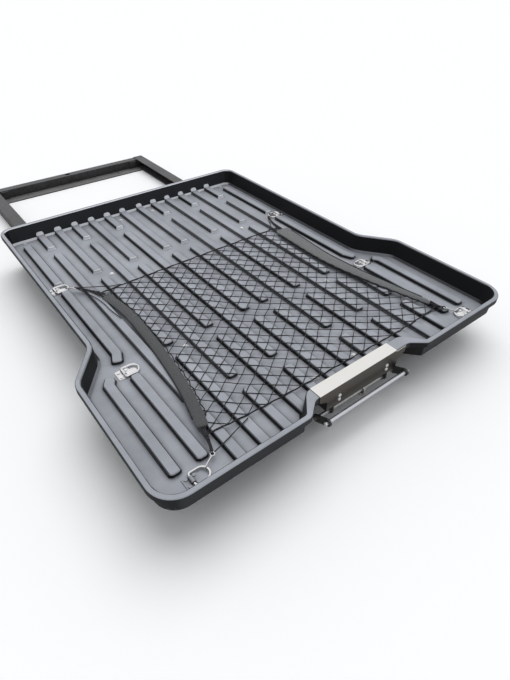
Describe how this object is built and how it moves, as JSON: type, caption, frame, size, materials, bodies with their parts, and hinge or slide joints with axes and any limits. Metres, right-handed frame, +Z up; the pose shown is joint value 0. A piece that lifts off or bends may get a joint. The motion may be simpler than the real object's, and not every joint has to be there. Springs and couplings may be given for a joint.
{
  "type": "truck bed slide",
  "caption": "Slide-out cargo tray for a truck bed: a ribbed plastic tray on a rolling steel carriage, with lashing rings, a cargo net and a latch handle.",
  "frame": {"origin": "centre of the bed bolt holes at the underside of the base frame's straps", "axes": "+X to the right seen from the handle end, +Y towards the cab, +Z up"},
  "size_m": [1.255, 2.143, 0.167],
  "materials": {
    "base_paint": "black powder coat, satin",
    "carriage_paint": "black powder coat, satin",
    "stop_rubber": "plain",
    "zinc_steel": "zinc plated",
    "roller_steel": "ground",
    "tray_plastic": "fine moulded grain, satin",
    "bright_fasteners": "bright",
    "ring_chrome": "polished plating",
    "plate_steel": "brushed along its length",
    "handle_paint": "black, satin",
    "grip_metal": "satin",
    "net_cord": "braided cord",
    "net_webbing": "woven webbing"
  },
  "bodies": {
    "base_frame": {"base_rail_left": "base_paint", "base_rail_right": "base_paint", "base_front_bar": "base_paint", "base_strap_front": "base_paint", "base_strap_middle": "base_paint", "base_strap_inner": "base_paint", "base_strap_rear": "base_paint", "lock_block_middle": "base_paint", "lock_block_rear": "base_paint", "bump_stops": "stop_rubber", "base_roller_axles": "zinc_steel"},
    "carriage": {"carriage_rail_left": "carriage_paint", "carriage_rail_right": "carriage_paint", "carriage_roller_axles": "zinc_steel", "cross_beam_rear": "carriage_paint", "cross_beam_mid_rear": "carriage_paint", "cross_beam_mid_front": "carriage_paint", "cross_beam_front": "carriage_paint", "tray": "tray_plastic", "tray_screws": "bright_fasteners", "tray_washers": "bright_fasteners", "tray_nuts": "bright_fasteners", "ring_plates": "ring_chrome", "ring_screws": "bright_fasteners", "cargo_net": "net_cord", "net_webbing_left": "net_webbing", "net_webbing_right": "net_webbing", "handle_plate": "plate_steel", "handle_brackets": "handle_paint", "handle_bracket_bolts": "bright_fasteners", "rod_guide_rear": "carriage_paint", "rod_guide_front": "carriage_paint", "pawl_bracket": "carriage_paint", "pawl_pin": "zinc_steel"},
    "handle": {"handle_shaft": "zinc_steel", "handle_arm_left": "handle_paint", "handle_arm_right": "handle_paint", "handle_grip": "grip_metal", "grip_bolts": "bright_fasteners", "handle_crank": "zinc_steel"},
    "latch_rod": {"latch_rod": "zinc_steel"},
    "latch_pawl": {"latch_pawl": "zinc_steel"},
    "base_roller_left": {"base_roller_left": "roller_steel"},
    "carriage_roller_front_left": {"carriage_roller_front_left": "roller_steel"},
    "carriage_roller_rear_left": {"carriage_roller_rear_left": "roller_steel"},
    "base_roller_right": {"base_roller_right": "roller_steel"},
    "carriage_roller_front_right": {"carriage_roller_front_right": "roller_steel"},
    "carriage_roller_rear_right": {"carriage_roller_rear_right": "roller_steel"},
    "lashing_ring_front_left": {"lashing_ring_front_left": "ring_chrome", "net_hook_front_left": "ring_chrome"},
    "lashing_ring_front_right": {"lashing_ring_front_right": "ring_chrome", "net_hook_front_right": "ring_chrome"},
    "lashing_ring_middle_left": {"lashing_ring_middle_left": "ring_chrome"},
    "lashing_ring_middle_right": {"lashing_ring_middle_right": "ring_chrome"},
    "lashing_ring_rear_left": {"lashing_ring_rear_left": "ring_chrome", "net_hook_rear_left": "ring_chrome"},
    "lashing_ring_rear_right": {"lashing_ring_rear_right": "ring_chrome", "net_hook_rear_right": "ring_chrome"}
  },
  "joints": [
    {"name": "tray_slide", "type": "slide", "parent": "base_frame", "child": "carriage", "axis": [0, -1, 0], "range_m": [-0.725, 0.275]},
    {"name": "base_roller_left", "type": "hinge", "parent": "base_frame", "child": "base_roller_left", "pos_m": [-0.353, -0.605, 0.0281], "axis": [1, 0, 0], "range_deg": [-2240, 850]},
    {"name": "carriage_roller_front_left", "type": "hinge", "parent": "carriage", "child": "carriage_roller_front_left", "pos_m": [-0.399, -0.09, 0.0259], "axis": [1, 0, 0], "range_deg": [-2240, 850]},
    {"name": "carriage_roller_rear_left", "type": "hinge", "parent": "carriage", "child": "carriage_roller_rear_left", "pos_m": [-0.399, -0.295, 0.0259], "axis": [1, 0, 0], "range_deg": [-2240, 850]},
    {"name": "base_roller_right", "type": "hinge", "parent": "base_frame", "child": "base_roller_right", "pos_m": [0.353, -0.605, 0.0281], "axis": [1, 0, 0], "range_deg": [-2240, 850]},
    {"name": "carriage_roller_front_right", "type": "hinge", "parent": "carriage", "child": "carriage_roller_front_right", "pos_m": [0.399, -0.09, 0.0259], "axis": [1, 0, 0], "range_deg": [-2240, 850]},
    {"name": "carriage_roller_rear_right", "type": "hinge", "parent": "carriage", "child": "carriage_roller_rear_right", "pos_m": [0.399, -0.295, 0.0259], "axis": [1, 0, 0], "range_deg": [-2240, 850]},
    {"name": "handle_lift", "type": "hinge", "parent": "carriage", "child": "handle", "pos_m": [0, -1.382, 0.068], "axis": [-1, 0, 0], "range_deg": [-20, 10]},
    {"name": "latch_rod_slide", "type": "slide", "parent": "carriage", "child": "latch_rod", "axis": [0, -1, 0], "range_m": [-0.00349, 0.00175]},
    {"name": "pawl_turn", "type": "hinge", "parent": "carriage", "child": "latch_pawl", "pos_m": [0.021, -0.08, 0.04], "axis": [1, 0, 0], "range_deg": [-11.2, 5.6]},
    {"name": "ring_front_left", "type": "hinge", "parent": "carriage", "child": "lashing_ring_front_left", "pos_m": [-0.493, -0.452, 0.1061], "axis": [0, -1, 0], "range_deg": [0, 100]},
    {"name": "ring_front_right", "type": "hinge", "parent": "carriage", "child": "lashing_ring_front_right", "pos_m": [0.493, -0.452, 0.1061], "axis": [0, 1, 0], "range_deg": [0, 100]},
    {"name": "ring_middle_left", "type": "hinge", "parent": "carriage", "child": "lashing_ring_middle_left", "pos_m": [-0.488, -0.959, 0.1061], "axis": [0, -1, 0], "range_deg": [0, 100]},
    {"name": "ring_middle_right", "type": "hinge", "parent": "carriage", "child": "lashing_ring_middle_right", "pos_m": [0.488, -0.959, 0.1061], "axis": [0, 1, 0], "range_deg": [0, 100]},
    {"name": "ring_rear_left", "type": "hinge", "parent": "carriage", "child": "lashing_ring_rear_left", "pos_m": [-0.521, -1.3655, 0.1061], "axis": [0, -1, 0], "range_deg": [0, 100]},
    {"name": "ring_rear_right", "type": "hinge", "parent": "carriage", "child": "lashing_ring_rear_right", "pos_m": [0.521, -1.3655, 0.1061], "axis": [0, 1, 0], "range_deg": [0, 100]}
  ],
  "couplings": [
    {"joint": "base_roller_left", "follows": "tray_slide", "rad_per_m": 53.763},
    {"joint": "carriage_roller_front_left", "follows": "tray_slide", "rad_per_m": 53.763},
    {"joint": "carriage_roller_rear_left", "follows": "tray_slide", "rad_per_m": 53.763},
    {"joint": "base_roller_right", "follows": "tray_slide", "rad_per_m": 53.763},
    {"joint": "carriage_roller_front_right", "follows": "tray_slide", "rad_per_m": 53.763},
    {"joint": "carriage_roller_rear_right", "follows": "tray_slide", "rad_per_m": 53.763},
    {"joint": "latch_rod_slide", "follows": "handle_lift", "m_per_rad": 0.01},
    {"joint": "pawl_turn", "follows": "handle_lift", "ratio": 0.55556}
  ]
}
